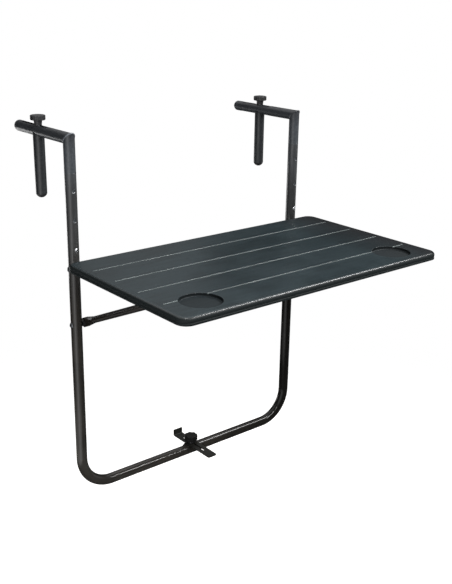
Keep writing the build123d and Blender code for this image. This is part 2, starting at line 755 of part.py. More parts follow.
# Table top: rounded slab, hollow and ribbed underneath, with plank grooves and two cup recesses above
cup_x = table_width / 2 - cup_side_margin
cup_y = table_front + cup_front_margin
inner_width = table_width - 2 * skirt_wall
inner_depth = table_depth - 2 * skirt_wall
bracket_bosses = [(s * leaf_x, leaf_mid + k * screw_spacing / 2) for _, s in sides for k in (-1, 1)]
clip_bosses = [(s * clip_x, bar_y + k * clip_screw_offset) for _, s in sides for k in (-1, 1)]
cross_ribs = [bar_y - clip_length / 2, bar_y + clip_length / 2]
with BuildPart() as tabletop:
    with BuildSketch(Plane.XY.offset(skirt_z)):
        with Locations((0, table_mid)):
            RectangleRounded(table_width, table_depth, table_corner)
    extrude(amount=table_thickness)
    fillet(tabletop.faces().sort_by(Axis.Z)[-1].edges(), table_edge)
    with BuildSketch(Plane.XY.offset(skirt_z)):
        with Locations((0, table_mid)):
            RectangleRounded(inner_width, inner_depth, table_corner - skirt_wall)
    extrude(amount=plate_z - skirt_z, mode=Mode.SUBTRACT)
    with BuildSketch(Plane.XY.offset(rib_z)):
        with Locations([(0, y) for y in cross_ribs]):
            Rectangle(inner_width + skirt_wall, rib_thickness)
        with Locations((0, table_mid)):
            with GridLocations(table_width / 6, 1, 5, 1):
                Rectangle(rib_thickness, inner_depth + skirt_wall)
        with Locations(bracket_bosses + clip_bosses):
            Circle(boss_diameter / 2)
        with Locations((-cup_x, cup_y), (cup_x, cup_y)):
            Circle(cup_diameter / 2 + cup_wall)
    extrude(amount=plate_z - rib_z)
    with BuildSketch(Plane.XY.offset(top_z - cup_depth)):
        with Locations((-cup_x, cup_y), (cup_x, cup_y)):
            Circle(cup_diameter / 2)
    extrude(amount=cup_depth, mode=Mode.SUBTRACT)
    cup_floors = tabletop.faces().filter_by_position(Axis.Z, top_z - cup_depth, top_z - cup_depth)
    fillet(cup_floors.edges(), cup_floor_round)
    with BuildSketch(Plane.XY.offset(rib_z)):
        with Locations((-cup_x, cup_y), (cup_x, cup_y)):
            Circle(cup_diameter / 2)
    extrude(amount=top_z - cup_depth - plate_thickness - rib_z, mode=Mode.SUBTRACT)
    with BuildSketch(Plane.XY.offset(rib_z)):
        with Locations(bracket_bosses + clip_bosses):
            Circle(screw_diameter / 2 + seat_clearance)
    extrude(amount=plate_z - rib_z - boss_floor, mode=Mode.SUBTRACT)
    with BuildSketch(Plane.XY.offset(top_z - groove_depth)):
        with Locations([(0, table_back - first_groove - i * groove_pitch) for i in range(groove_count)]):
            SlotOverall(table_width - 2 * groove_margin, groove_width)
    extrude(amount=groove_depth, mode=Mode.SUBTRACT)
    top_face = tabletop.faces().filter_by(Axis.Z).sort_by(Axis.Z)[-1]
    fillet(top_face.inner_wires().edges(), groove_edge)
    # Fine line pressed into the skirt all round
    with BuildLine(Plane.XY.offset(top_z - edge_line_drop)) as edge_line:
        FilletPolyline(
            (table_width / 2, table_back),
            (table_width / 2, table_front),
            (-table_width / 2, table_front),
            (-table_width / 2, table_back),
            radius=table_corner,
            close=True,
        )
    with BuildSketch(Plane(origin=edge_line.wires()[0] @ 0, x_dir=(0, 0, 1), z_dir=edge_line.wires()[0] % 0)):
        Polygon(
            (-edge_line_height / 2, 0),
            (0, -edge_line_depth),
            (edge_line_height / 2, 0),
            (0, edge_line_depth),
            align=None,
        )
    sweep(path=edge_line.wires()[0], mode=Mode.SUBTRACT)
    # Notches for the hinge brackets at the back
    with BuildSketch(Plane.XY.offset(skirt_z)):
        with Locations([(s * (ear_inner + post_outer) / 2, table_back) for _, s in sides]):
            Rectangle(post_outer - ear_inner + 2 * notch_margin, 4 * skirt_wall)
    extrude(amount=rib_setback, mode=Mode.SUBTRACT)
    with BuildSketch(Plane.XY.offset(skirt_z)):
        with Locations([(s * table_width / 2, y) for _, s in sides for y in cross_ribs]):
            Rectangle(2 * rib_tick_depth, rib_tick_width)
    extrude(amount=table_thickness - table_edge, mode=Mode.SUBTRACT)
save(tabletop, "tabletop")

# Screws of the hinge brackets, and of the clips
with BuildPart() as bracket_screws:
    with BuildSketch(Plane.XY.offset(leaf_under)):
        with Locations(bracket_bosses):
            Circle(screw_head_diameter / 2)
    extrude(amount=-screw_head_height)
    with BuildSketch(Plane.XY.offset(leaf_under)):
        with Locations(bracket_bosses):
            Circle(screw_diameter / 2)
    extrude(amount=plate_z - boss_floor - seat_clearance - leaf_under)
save(bracket_screws, "bracket_screws")

with BuildPart() as clip_screws:
    with BuildSketch(Plane.XY.offset(leaf_under)):
        with Locations(clip_bosses):
            Circle(screw_head_diameter / 2)
    extrude(amount=-screw_head_height)
    with BuildSketch(Plane.XY.offset(leaf_under)):
        with Locations(clip_bosses):
            Circle(screw_diameter / 2)
    extrude(amount=plate_z - boss_floor - seat_clearance - leaf_under)
save(clip_screws, "clip_screws")
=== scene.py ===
import json
import math
import bpy
import numpy as np
from mathutils import Matrix, Vector


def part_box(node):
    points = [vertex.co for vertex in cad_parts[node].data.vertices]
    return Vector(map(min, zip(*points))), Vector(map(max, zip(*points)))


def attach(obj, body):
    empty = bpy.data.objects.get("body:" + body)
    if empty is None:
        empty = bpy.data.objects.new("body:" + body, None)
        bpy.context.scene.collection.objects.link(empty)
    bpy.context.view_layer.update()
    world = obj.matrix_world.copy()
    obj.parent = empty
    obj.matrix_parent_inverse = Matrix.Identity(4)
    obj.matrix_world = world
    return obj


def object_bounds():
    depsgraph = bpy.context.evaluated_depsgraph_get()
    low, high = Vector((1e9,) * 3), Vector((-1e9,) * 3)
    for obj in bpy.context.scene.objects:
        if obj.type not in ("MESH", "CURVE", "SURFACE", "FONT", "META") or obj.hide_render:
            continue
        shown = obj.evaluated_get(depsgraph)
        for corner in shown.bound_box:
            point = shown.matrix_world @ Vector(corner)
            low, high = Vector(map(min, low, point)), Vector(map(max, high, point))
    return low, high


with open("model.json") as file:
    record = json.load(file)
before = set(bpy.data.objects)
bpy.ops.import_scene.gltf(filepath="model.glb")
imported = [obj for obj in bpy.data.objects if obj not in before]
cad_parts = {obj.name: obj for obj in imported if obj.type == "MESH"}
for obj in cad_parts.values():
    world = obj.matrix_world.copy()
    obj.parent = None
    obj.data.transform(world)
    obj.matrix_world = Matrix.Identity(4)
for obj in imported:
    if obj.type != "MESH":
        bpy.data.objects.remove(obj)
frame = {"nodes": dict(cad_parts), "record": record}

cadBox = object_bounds()
nodes = frame["nodes"]
mm = 0.001
noiseLow, noiseHigh = 0.3, 0.7  # nearly all of a noise pattern lies between these
white = (1, 1, 1, 1)
print("frame loaded:", len(nodes), "nodes")


# lower and upper corner of a node's box, in mm
def boxOf(name):
    return [np.array(corner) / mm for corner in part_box(name)]


# sRGB hex to linear red, green, blue and alpha
def toLinear(hexColour):
    srgb = np.array([int(hexColour[i:i + 2], 16) for i in (1, 3, 5)]) / 255
    linear = np.where(srgb <= 0.04045, srgb / 12.92, ((srgb + 0.055) / 1.055) ** 2.4)
    return (*linear.tolist(), 1.0)


# gives a node its inputs, each a value or a socket to link from
def setInputs(tree, node, inputs):
    for key, value in inputs.items():
        if isinstance(value, bpy.types.NodeSocket):
            tree.links.new(value, node.inputs[key])
        else:
            node.inputs[key].default_value = value


# adds one node with its settings and inputs, and gives back one of its outputs; a mix takes its share at 0,
# and its two sides at 2 and 3 for numbers, or at 6 and 7 for colours, whose result is output 2
def addNode(tree, kind, settings=None, inputs=None, output=0):
    node = tree.nodes.new(kind)
    for key, value in (settings or {}).items():
        setattr(node, key, value)
    setInputs(tree, node, inputs or {})
    return node.outputs[output]


# new material: its tree, its shader and the piece's own coordinates
def startMaterial(name):
    material = bpy.data.materials.new(name)
    material.use_nodes = True
    tree = material.node_tree
    shader = tree.nodes["Principled BSDF"]
    coords = addNode(tree, "ShaderNodeTexCoord", output="Object")
    return material, tree, shader, coords


# two colours mixed by a pattern: the dark one where it is below low, the light one where it is above high
def twoTone(tree, pattern, look, low=noiseLow, high=noiseHigh):
    share = addNode(tree, "ShaderNodeMapRange", inputs={"Value": pattern, "From Min": low, "From Max": high})
    return addNode(tree, "ShaderNodeMix", {"data_type": "RGBA"}, {
        0: share, 6: toLinear(look["dark"]), 7: toLinear(look["light"])}, output=2)


# colours laid over a tone one after another, each by its own share
def overlay(tree, tone, look, layers):
    for share, colour in layers:
        tone = addNode(tree, "ShaderNodeMix", {"data_type": "RGBA"}, {
            0: share, 6: tone, 7: toLinear(look[colour])}, output=2)
    return tone


# roughness that rises and falls with a pattern
def unevenRoughness(tree, pattern, look):
    return addNode(tree, "ShaderNodeMapRange", inputs={
        "Value": pattern, "From Min": noiseLow, "From Max": noiseHigh,
        "To Min": look["roughLow"], "To Max": look["roughHigh"]})


powderSettings = {
    "dark": "#2f2d2a", "light": "#3a3733", "toneLow": 0.35, "toneHigh": 0.65,
    # painted light: a lighter, cooler tone over the frame above the table, fading out below it
    "lighterTone": "#4b4f54", "lighterLow": -300.0, "lighterHigh": -90.0,  # heights in mm
    # painted shade: a darker tone low on the right, under the table
    "shaded": "#141311", "shadeLeft": -200.0, "shadeRight": 260.0,  # places along X in mm
    "cloudMm": 60.0, "cloudDetail": 4.0, "peelMm": 2.0, "peelDetail": 2.0, "speckMm": 0.7, "speckDetail": 1.0,
    "roughLow": 0.13, "roughHigh": 0.2, "peelBump": 0.05, "peelDepthMm": 0.4,
    "shine": 0.5, "shadeDulls": 0.25, "ior": 1.5,
}


# powder-coated steel tube: satin black with a fine orange peel that breaks up the streaks of light; painted
# light makes it lighter and cooler in patches above the table, and painted shade darker and duller low on the
# right;
# the specks of uneven sheen are drawn coarser than they are, so that they show
def makePowderCoat(name, look):
    material, tree, shader, coords = startMaterial(name)
    cloud = addNode(tree, "ShaderNodeTexNoise", inputs={
        "Vector": coords, "Scale": 1 / (look["cloudMm"] * mm), "Detail": look["cloudDetail"]})
    peel = addNode(tree, "ShaderNodeTexNoise", inputs={
        "Vector": coords, "Scale": 1 / (look["peelMm"] * mm), "Detail": look["peelDetail"]})
    speck = addNode(tree, "ShaderNodeTexNoise", inputs={
        "Vector": coords, "Scale": 1 / (look["speckMm"] * mm), "Detail": look["speckDetail"]})
    place = addNode(tree, "ShaderNodeSeparateXYZ", inputs={"Vector": coords}).node.outputs
    # painted light: lighter above the table, fading out below it
    lighterShare = addNode(tree, "ShaderNodeMapRange", inputs={
        "Value": place["Z"], "From Min": look["lighterLow"] * mm, "From Max": look["lighterHigh"] * mm})
    # painted shade low on the right
    rightward = addNode(tree, "ShaderNodeMapRange", inputs={
        "Value": place["X"], "From Min": look["shadeLeft"] * mm, "From Max": look["shadeRight"] * mm})
    shade = addNode(tree, "ShaderNodeMix", {"data_type": "FLOAT"}, {0: lighterShare, 2: rightward, 3: 0.0})
    # the painted light lies in mottled patches
    mottledLighter = addNode(tree, "ShaderNodeMath", {"operation": "MULTIPLY"}, {0: lighterShare, 1: cloud})
    plain = twoTone(tree, cloud, look, look["toneLow"], look["toneHigh"])
    bump = addNode(tree, "ShaderNodeBump", inputs={
        "Height": peel, "Strength": look["peelBump"], "Distance": look["peelDepthMm"] * mm})
    # the painted shade also dims the reflections low on the right
    gloss = addNode(tree, "ShaderNodeMath", {"operation": "MULTIPLY_ADD"}, {
        0: shade, 1: -look["shadeDulls"], 2: look["shine"]})
    setInputs(tree, shader, {
        "Base Color": overlay(tree, plain, look, ((shade, "shaded"), (mottledLighter, "lighterTone"))),
        "Roughness": unevenRoughness(tree, speck, look), "Normal": bump,
        "Specular IOR Level": gloss, "IOR": look["ior"]})
    return material


tableLow, tableHigh = boxOf("tabletop")
slateSettings = {
    "dark": "#1d2629", "light": "#2b363a", "toneLow": 0.36, "toneHigh": 0.64, "streakShare": 0.6,
    # painted shade on the sides and in the cup recesses, and a painted highlight in the plank grooves
    "side": "#1a1f20", "grooveHighlight": "#87908f", "recessShadeTone": "#14181a",
    # painted shade: a darker tone towards the right end of the top
    "shaded": "#1c1e20", "shadeLeft": 180.0, "shadeRight": 290.0,  # places along X in mm
    "topLevel": tableHigh[2], "middle": (tableLow[1] + tableHigh[1]) / 2,
    "halfWidth": tableHigh[0], "halfDepth": (tableHigh[1] - tableLow[1]) / 2,
    "corner": 20.0, "edge": 6.0, "rimWidth": 1.5, "sideDrop": 1.4,
    "faceStart": 2.0, "faceEnd": 1.0,  # mm in from the outline
    "firstGroove": -103.5, "groovePitch": 70.0, "grooveHalf": 1.5, "lip": 0.2, "grooveDepth": 1.7,
    "cupX": 227.7, "cupY": -333.4, "cupRadius": 36.4, "wallDepth": 4.5, "wallFoot": 1.0,
    # painted shade in the cup recesses: its strength on the wall and the floor, and how much it roughens them
    # and dims their reflections
    "wallShade": 0.9, "floorShade": 0.65, "recessRoughens": 0.3, "recessDulls": 0.4, "faceDulls": 0.35,
    "cloudMm": 90.0, "cloudDetail": 5.0, "grainMm": 1.1, "grainDetail": 3.0,
    "streakMm": 3.6, "streakDetail": 3.0, "streakSqueeze": 0.06,
    "roughLow": 0.28, "roughHigh": 0.36, "edgeRough": 0.25, "sideRough": 0.56, "shine": 0.5, "ior": 1.49,
    "grainBump": 0.12, "grainDepthMm": 0.3, "streakBump": 0.25, "streakDepthMm": 0.15,
}


# how far out a point is past the line where the rounding of the table's edge begins: beyond the middle
# of a corner's arc the straight distance from it, elsewhere the larger of the distances along X and Y
def pastEdge(tree, place, look):
    fromMiddle = addNode(tree, "ShaderNodeMath", {"operation": "SUBTRACT"}, {
        0: place["Y"], 1: look["middle"] * mm})
    past = []
    for offset, half in ((place["X"], "halfWidth"), (fromMiddle, "halfDepth")):
        distance = addNode(tree, "ShaderNodeMath", {"operation": "ABSOLUTE"}, {0: offset})
        past.append(addNode(tree, "ShaderNodeMath", {"operation": "SUBTRACT"}, {
            0: distance, 1: (look[half] - look["corner"]) * mm}))
    larger = addNode(tree, "ShaderNodeMath", {"operation": "MAXIMUM"}, {0: past[0], 1: past[1]})
    inner = addNode(tree, "ShaderNodeMath", {"operation": "MINIMUM"}, {0: larger, 1: 0.0})
    joined = addNode(tree, "ShaderNodeCombineXYZ", inputs={"X": past[0], "Y": past[1]})
    onlyOut = addNode(tree, "ShaderNodeVectorMath", {"operation": "MAXIMUM"}, {0: joined, 1: (0, 0, 0)})
    straight = addNode(tree, "ShaderNodeVectorMath", {"operation": "LENGTH"}, {0: onlyOut}, output="Value")
    reach = addNode(tree, "ShaderNodeMath", {"operation": "ADD"}, {0: straight, 1: inner})
    return addNode(tree, "ShaderNodeMath", {"operation": "SUBTRACT"}, {
        0: reach, 1: (look["corner"] - look["edge"]) * mm})


# 1 in the plank grooves of the flat top and 0 elsewhere: sunk below the top but above the floor of a groove,
# near a line of the pattern and inside the rounding of the edge
def grooveMask(tree, place, sunk, outer, look):
    shifted = addNode(tree, "ShaderNodeMath", {"operation": "SUBTRACT"}, {
        0: place["Y"], 1: look["firstGroove"] * mm})
    fromLine = addNode(tree, "ShaderNodeMath", {"operation": "PINGPONG"}, {
        0: shifted, 1: look["groovePitch"] / 2 * mm})
    nearLine = addNode(tree, "ShaderNodeMath", {"operation": "LESS_THAN"}, {
        0: fromLine, 1: look["grooveHalf"] * mm})
    aboveFloor = addNode(tree, "ShaderNodeMath", {"operation": "GREATER_THAN"}, {
        0: place["Z"], 1: (look["topLevel"] - look["grooveDepth"]) * mm})
    onFlat = addNode(tree, "ShaderNodeMath", {"operation": "LESS_THAN"}, {0: outer, 1: 0.0})
    mask = sunk
    for limit in (aboveFloor, nearLine, onFlat):
        mask = addNode(tree, "ShaderNodeMath", {"operation": "MULTIPLY"}, {0: mask, 1: limit})
    return mask


# how strong the painted shade is in the two cup recesses: none outside them, more on the wall than on the
# floor
def cupShade(tree, place, sunk, look):
    mirrored = addNode(tree, "ShaderNodeMath", {"operation": "ABSOLUTE"}, {0: place["X"]})
    across = addNode(tree, "ShaderNodeMath", {"operation": "SUBTRACT"}, {0: mirrored, 1: look["cupX"] * mm})
    along = addNode(tree, "ShaderNodeMath", {"operation": "SUBTRACT"}, {0: place["Y"], 1: look["cupY"] * mm})
    fromCup = addNode(tree, "ShaderNodeCombineXYZ", inputs={"X": across, "Y": along})
    away = addNode(tree, "ShaderNodeVectorMath", {"operation": "LENGTH"}, {0: fromCup}, output="Value")
    inside = addNode(tree, "ShaderNodeMath", {"operation": "LESS_THAN"}, {0: away, 1: look["cupRadius"] * mm})
    recess = addNode(tree, "ShaderNodeMath", {"operation": "MULTIPLY"}, {0: inside, 1: sunk})
    wallLow = look["topLevel"] - look["wallDepth"]
    shadeDepth = addNode(tree, "ShaderNodeMapRange", inputs={
        "Value": place["Z"], "From Min": (wallLow - look["wallFoot"]) * mm, "From Max": wallLow * mm,
        "To Min": look["floorShade"], "To Max": look["wallShade"]})
    return addNode(tree, "ShaderNodeMath", {"operation": "MULTIPLY"}, {0: recess, 1: shadeDepth})


# injection-moulded polypropylene: slate grey with a fine spark-eroded grain and a faint wood grain along the
# planks, rubbed smooth round its edge and dull on the upright face of the skirt, with painted shade on its
# sides, at its right end and in the cup recesses, and pale streaks in the plank grooves as a painted
# highlight;
# the spark-eroded grain is drawn coarser than it is, so that it shows
def makeSlatePlastic(name, look):
    material, tree, shader, coords = startMaterial(name)
    cloud = addNode(tree, "ShaderNodeTexNoise", inputs={
        "Vector": coords, "Scale": 1 / (look["cloudMm"] * mm), "Detail": look["cloudDetail"]})
    grain = addNode(tree, "ShaderNodeTexNoise", inputs={
        "Vector": coords, "Scale": 1 / (look["grainMm"] * mm), "Detail": look["grainDetail"]})
    alongPlanks = addNode(tree, "ShaderNodeMapping", inputs={
        "Vector": coords, "Scale": (look["streakSqueeze"], 1.0, 1.0)})
    streak = addNode(tree, "ShaderNodeTexNoise", inputs={
        "Vector": alongPlanks, "Scale": 1 / (look["streakMm"] * mm), "Detail": look["streakDetail"]})
    place = addNode(tree, "ShaderNodeSeparateXYZ", inputs={"Vector": coords}).node.outputs
    sunk = addNode(tree, "ShaderNodeMath", {"operation": "LESS_THAN"}, {
        0: place["Z"], 1: (look["topLevel"] - look["lip"]) * mm})
    outer = pastEdge(tree, place, look)
    # painted shade in the cup recesses
    recessShade = cupShade(tree, place, sunk, look)
    # painted highlight: pale streaks in the plank grooves, where their flanks catch the light
    grooveLight = addNode(tree, "ShaderNodeMath", {"operation": "MULTIPLY"}, {
        0: grooveMask(tree, place, sunk, outer, look), 1: streak})
    # shares of the rounded rim, of the upright face of the skirt, of the painted shade on all the sides and
    # of the painted shade at the right end
    rim = addNode(tree, "ShaderNodeMapRange", inputs={
        "Value": outer, "From Min": 0.0, "From Max": look["rimWidth"] * mm})
    face = addNode(tree, "ShaderNodeMapRange", inputs={
        "Value": outer, "From Min": (look["edge"] - look["faceStart"]) * mm,
        "From Max": (look["edge"] - look["faceEnd"]) * mm})
    # painted shade on the sides, below the top and out on the rim
    drop = addNode(tree, "ShaderNodeMapRange", inputs={
        "Value": place["Z"], "From Min": look["topLevel"] * mm,
        "From Max": (look["topLevel"] - look["sideDrop"]) * mm})
    side = addNode(tree, "ShaderNodeMath", {"operation": "MULTIPLY"}, {0: rim, 1: drop})
    # painted shade towards the right end
    rightShade = addNode(tree, "ShaderNodeMapRange", inputs={
        "Value": place["X"], "From Min": look["shadeLeft"] * mm, "From Max": look["shadeRight"] * mm})
    figure = addNode(tree, "ShaderNodeMix", {"data_type": "FLOAT"}, {
        0: look["streakShare"], 2: cloud, 3: streak})
    plain = twoTone(tree, figure, look, look["toneLow"], look["toneHigh"])
    # over the plain tone: painted shade at the right end, on the sides and in the cup recesses, and a painted
    # highlight in the grooves
    tone = overlay(tree, plain, look, (
        (rightShade, "shaded"), (side, "side"), (grooveLight, "grooveHighlight"), (recessShade, "recessShadeTone")))
    matte = addNode(tree, "ShaderNodeMath", {"operation": "MULTIPLY_ADD"}, {
        0: recessShade, 1: look["recessRoughens"], 2: unevenRoughness(tree, cloud, look)})
    rubbed = addNode(tree, "ShaderNodeMix", {"data_type": "FLOAT"}, {0: rim, 2: matte, 3: look["edgeRough"]})
    rough = addNode(tree, "ShaderNodeMix", {"data_type": "FLOAT"}, {0: face, 2: rubbed, 3: look["sideRough"]})
    # both grains fade out towards the rim
    woodDepth = addNode(tree, "ShaderNodeMapRange", inputs={
        "Value": rim, "To Min": look["streakBump"], "To Max": 0.0})
    wood = addNode(tree, "ShaderNodeBump", inputs={
        "Height": streak, "Strength": woodDepth, "Distance": look["streakDepthMm"] * mm})
    grainDepth = addNode(tree, "ShaderNodeMapRange", inputs={
        "Value": rim, "To Min": look["grainBump"], "To Max": 0.0})
    bump = addNode(tree, "ShaderNodeBump", inputs={
        "Height": grain, "Strength": grainDepth, "Distance": look["grainDepthMm"] * mm, "Normal": wood})
    # the painted shade in the cups also dims their reflections
    gloss = addNode(tree, "ShaderNodeMath", {"operation": "MULTIPLY_ADD"}, {
        0: recessShade, 1: -look["recessDulls"], 2: look["shine"]})
    dulled = addNode(tree, "ShaderNodeMath", {"operation": "MULTIPLY_ADD"}, {
        0: face, 1: -look["faceDulls"], 2: gloss})
    setInputs(tree, shader, {
        "Base Color": tone, "Roughness": rough, "Normal": bump,
        "Specular IOR Level": dulled, "IOR": look["ior"]})
    return material


nylonSettings = {
    "dark": "#1f1f21", "light": "#29292b", "toneLow": 0.35, "toneHigh": 0.65,
    "cloudMm": 14.0, "cloudDetail": 3.0, "grainMm": 0.9, "grainDetail": 2.0,
    "roughLow": 0.38, "roughHigh": 0.55, "grainBump": 0.2, "grainDepthMm": 0.2, "shine": 0.5, "ior": 1.53,
}


# moulded nylon: plain black with a fine matte grain, drawn coarser than it is, so that it shows
def makeNylon(name, look):
    material, tree, shader, coords = startMaterial(name)
    cloud = addNode(tree, "ShaderNodeTexNoise", inputs={
        "Vector": coords, "Scale": 1 / (look["cloudMm"] * mm), "Detail": look["cloudDetail"]})
    grain = addNode(tree, "ShaderNodeTexNoise", inputs={
        "Vector": coords, "Scale": 1 / (look["grainMm"] * mm), "Detail": look["grainDetail"]})
    bump = addNode(tree, "ShaderNodeBump", inputs={
        "Height": grain, "Strength": look["grainBump"], "Distance": look["grainDepthMm"] * mm})
    setInputs(tree, shader, {
        "Base Color": twoTone(tree, cloud, look, look["toneLow"], look["toneHigh"]),
        "Roughness": unevenRoughness(tree, grain, look), "Normal": bump,
        "Specular IOR Level": look["shine"], "IOR": look["ior"]})
    return material


metalSettings = {
    "brightNickel": {
        "dark": "#b9bbbe", "light": "#d6d8da", "scratchMm": 0.5, "roughLow": 0.16, "roughHigh": 0.3},
    "dullRivet": {
        "dark": "#4e5053", "light": "#707275", "scratchMm": 0.6, "roughLow": 0.3, "roughHigh": 0.45},
    "wornEdge": {
        "dark": "#85888c", "light": "#b9bcbf", "scratchMm": 0.6, "roughLow": 0.35, "roughHigh": 0.5},
    "zincSteel": {
        "dark": "#8e9196", "light": "#a9acb0", "scratchMm": 0.8, "roughLow": 0.3, "roughHigh": 0.45},
    "turnedBrass": {
        "dark": "#b08d4a", "light": "#c9a765", "scratchMm": 0.5, "roughLow": 0.25, "roughHigh": 0.4},
}
scratchDetail = 3.0


# bare or plated metal: an uneven sheen with fine scratches, drawn coarser than they are, so that they show
def makeMetal(name, look):
    material, tree, shader, coords = startMaterial(name)
    scratch = addNode(tree, "ShaderNodeTexNoise", inputs={
        "Vector": coords, "Scale": 1 / (look["scratchMm"] * mm), "Detail": scratchDetail})
    setInputs(tree, shader, {
        "Base Color": twoTone(tree, scratch, look),
        "Roughness": unevenRoughness(tree, scratch, look), "Metallic": 1.0})
    return material


stripSettings = {**powderSettings, "dark": "#1d1e1b", "light": "#282824", "roughLow": 0.36, "roughHigh": 0.5}
finishes = {
    "black_frame": makePowderCoat("powderCoatedTube", powderSettings),
    "black_strip": makePowderCoat("powderCoatedStrip", stripSettings),
    "slate_top": makeSlatePlastic("mouldedPolypropylene", slateSettings),
    "black_plastic": makeNylon("mouldedNylon", nylonSettings),
    "bright_steel": makeMetal("nickelPlatedSteel", metalSettings["brightNickel"]),
    "plain_steel": makeMetal("zincPlatedSteel", metalSettings["zincSteel"]),
    "brass_insert": makeMetal("turnedBrass", metalSettings["turnedBrass"]),
}


# every CAD node takes the material of its slot in the record
for part in frame["record"]["subparts"]:
    piece = nodes[part["node"]]
    piece.data.materials.clear()
    piece.data.materials.append(finishes[part["material_slot"]])


# the hooks are more mottled, and lighter on their posts than on their arms; the clamp tubes are as mottled
# but darker, the bail is matt and dark along its whole length, the strip's knob is matt and darker with
# painted shade, and the rivets are duller than the buttons
hookSettings = {
    **powderSettings, "dark": "#323437", "light": "#3e4043", "lighterTone": "#4f5459", "shaded": "#3a3c3f",
    "lighterLow": 14.0, "lighterHigh": -14.0,  # the posts, below the arms
    "cloudMm": 5.0, "peelMm": 2.4, "peelBump": 0.2, "roughLow": 0.22, "roughHigh": 0.34,
}
clampSettings = {
    **hookSettings, "dark": "#232527", "light": "#2d2f31", "lighterTone": "#2f3133", "shaded": "#232527",
}
bailSettings = {
    **powderSettings, "dark": "#191613", "light": "#201c18", "lighterTone": "#201c18",
    "roughLow": 0.34, "roughHigh": 0.46,
}
# painted shade: a darker copy of the nylon for the strip's knob, with dimmer reflections
shadedNylonSettings = {
    **nylonSettings, "dark": "#0f0f0f", "light": "#161615", "roughLow": 0.5, "roughHigh": 0.65, "shine": 0.2,
}
dullSteel = makeMetal("dullRivetSteel", metalSettings["dullRivet"])
ownFinishes = [
    (makePowderCoat("mottledPowderCoat", hookSettings), ("left_hook_tube", "right_hook_tube")),
    (makePowderCoat("mottledClampCoat", clampSettings), ("left_drop_tube", "right_drop_tube")),
    (makePowderCoat("mattPowderCoat", bailSettings), ("support_bail",)),
    (makeNylon("shadedNylon", shadedNylonSettings), ("strip_knob",)),
    (dullSteel, ("left_hinge_rivet", "right_hinge_rivet", "left_bail_rivet", "right_bail_rivet")),
]
for material, names in ownFinishes:
    for name in names:
        nodes[name].data.materials[0] = material
print("materials on", len(nodes), "nodes")


# closed grids of points (rows, columns, xyz in mm) joined into one smooth mesh that rides on a body; columns
# wrap round; rows wrap too, or end in a pole at both ends; faces turn outward by the sign of the volume
def addPiece(name, grids, material, body, poles=False):
    points, faces, count = [], [], 0
    for grid in grids:
        rows, columns = grid.shape[:2]
        flat = grid.reshape(-1, 3)
        index = np.arange(rows * columns).reshape(rows, columns)
        across = np.roll(index, -1, axis=1)
        quads = np.stack([index, across, np.roll(across, -1, axis=0), np.roll(index, -1, axis=0)], axis=-1)
        quads = quads[:rows - 1] if poles else quads
        triangles = np.vstack([quads[..., :3].reshape(-1, 3), quads[..., [0, 2, 3]].reshape(-1, 3)])
        if poles:
            flat = np.vstack([flat, flat[index[0]].mean(axis=0), flat[index[-1]].mean(axis=0)])
            first = np.column_stack([np.full(columns, rows * columns), across[0], index[0]])
            last = np.column_stack([np.full(columns, rows * columns + 1), index[-1], across[-1]])
            triangles = np.vstack([triangles, first, last])
        corners = flat[triangles]
        volume = np.einsum("ij,ij->", corners[:, 0], np.cross(corners[:, 1], corners[:, 2]))
        faces.append((triangles if volume > 0 else triangles[:, ::-1]) + count)
        points.append(flat)
        count += len(flat)
    mesh = bpy.data.meshes.new(name)
    mesh.from_pydata((np.vstack(points) * mm).tolist(), [], np.vstack(faces).tolist())
    mesh.polygons.foreach_set("use_smooth", np.ones(len(mesh.polygons), bool))
    mesh.materials.append(material)
    piece = bpy.data.objects.new(name, mesh)
    bpy.context.collection.objects.link(piece)
    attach(piece, body)


# the tube's size and place from the box of the right hook, whose post and arm are as thick as each other
hookLow, hookHigh = boxOf("right_hook_tube")
tubeRadius = (hookHigh[0] - hookLow[0]) / 2
tubeSettings = {
    "radius": tubeRadius, "postX": hookHigh[0] - tubeRadius, "postY": hookLow[1] + tubeRadius,
    "armZ": hookHigh[2] - tubeRadius,
}


# angles round a ring, down a column, and round its section, along a row
def ringAngles(look):
    turn = np.linspace(0, 2 * np.pi, look["turnSteps"], endpoint=False)[:, None]
    section = np.linspace(0, 2 * np.pi, look["sectionSteps"], endpoint=False)[None, :]
    return turn, section


rimSettings = {
    "hole": 3.0, "lowest": -189.0, "pitch": 54.0, "count": 3,
    "thin": 0.03, "swell": 0.6, "gather": 4, "inset": 1.1, "turnSteps": 48, "sectionSteps": 10,
}


# lip of a button hole with the coat worn off: a ring on the round of the post, its section a circle
# that is thin at the top of the hole and swells towards the bottom
def holeRim(side, level, tube, look):
    turn, section = ringAngles(look)
    thick = look["thin"] + look["swell"] * (0.5 - 0.5 * np.sin(turn)) ** look["gather"]
    reach = look["hole"] + thick * (look["inset"] + np.cos(section))
    x = reach * np.cos(turn)
    y = tube["postY"] - np.sqrt(tube["radius"] ** 2 - x ** 2) - thick * np.sin(section)
    return np.stack([side * tube["postX"] + x, y, level + reach * np.sin(turn)], axis=-1)


seamSettings = {
    "level": boxOf("frame_tube")[1][2], "thick": 0.28, "sink": 0.1, "turnSteps": 96, "sectionSteps": 10,
}


# rounded rim at the top of a post, rubbed to dull steel where the hook goes in:
# a circle carried round the tube
def seamRing(side, tube, look):
    turn, section = ringAngles(look)
    reach = tube["radius"] - look["sink"] + look["thick"] * np.cos(section)
    z = look["level"] - look["thick"] + look["thick"] * np.sin(section) + 0 * turn  # the same all round
    return np.stack([
        side * tube["postX"] + reach * np.cos(turn), tube["postY"] + reach * np.sin(turn), z], axis=-1)


beadSettings = {
    "thick": 0.45, "broad": 1.4, "ripples": 46, "ripple": 0.14, "turnSteps": 276, "sectionSteps": 12,
}
